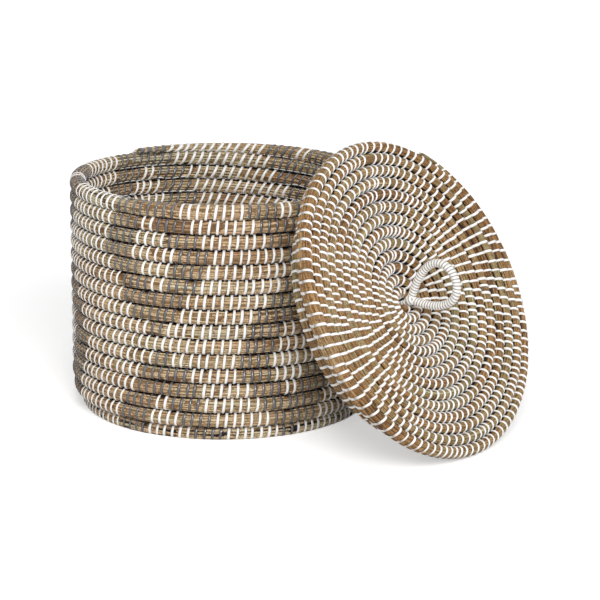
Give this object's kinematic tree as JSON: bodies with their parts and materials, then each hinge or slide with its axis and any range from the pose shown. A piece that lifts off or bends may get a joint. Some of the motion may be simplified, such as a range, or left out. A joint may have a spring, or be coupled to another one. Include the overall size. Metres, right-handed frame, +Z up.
{
  "type": "coiled basket with lid",
  "caption": "Round coiled seagrass basket, open at the top, with a slightly dished, collared lid that has a wrapped loop handle; the lid is stored leaning on the rim and swings over to close the mouth.",
  "frame": {"origin": "on the floor, on the basket's own axis, at the middle of its underside", "axes": "+Z up along the basket's axis, +X to the right and +Y away from the viewer of the picture; the lid leans at the front right"},
  "size_m": [0.5688, 0.5377, 0.3557],
  "materials": {
    "basket_seagrass": "dry grass bundle, matt, sewn with white and grey plastic strip",
    "lid_seagrass": "dry grass bundle, matt, sewn with white plastic strip",
    "white_wrapping": "white plastic strip wound close, slightly glossy"
  },
  "bodies": {
    "basket": {"base_coil": "basket_seagrass", "wall_coil": "basket_seagrass"},
    "carrier": {"handle_knot": "white_wrapping"},
    "lid": {"lid_coil": "lid_seagrass", "lid_collar_coil": "lid_seagrass", "handle_loop": "white_wrapping"}
  },
  "joints": [
    {"name": "lid_swing", "type": "hinge", "parent": "basket", "child": "carrier", "pos_m": [0.12091, -0.09045, 0.26897], "axis": [-0.599, -0.8007, 0], "range_deg": [0, 232.13]},
    {"name": "lid_tilt", "type": "hinge", "parent": "carrier", "child": "lid", "pos_m": [0.20273, -0.15166, 0.15714], "axis": [-0.599, -0.8007, 0], "range_deg": [-169.63, 0]}
  ],
  "couplings": [
    {"joint": "lid_tilt", "follows": "lid_swing", "ratio": -0.73075}
  ]
}
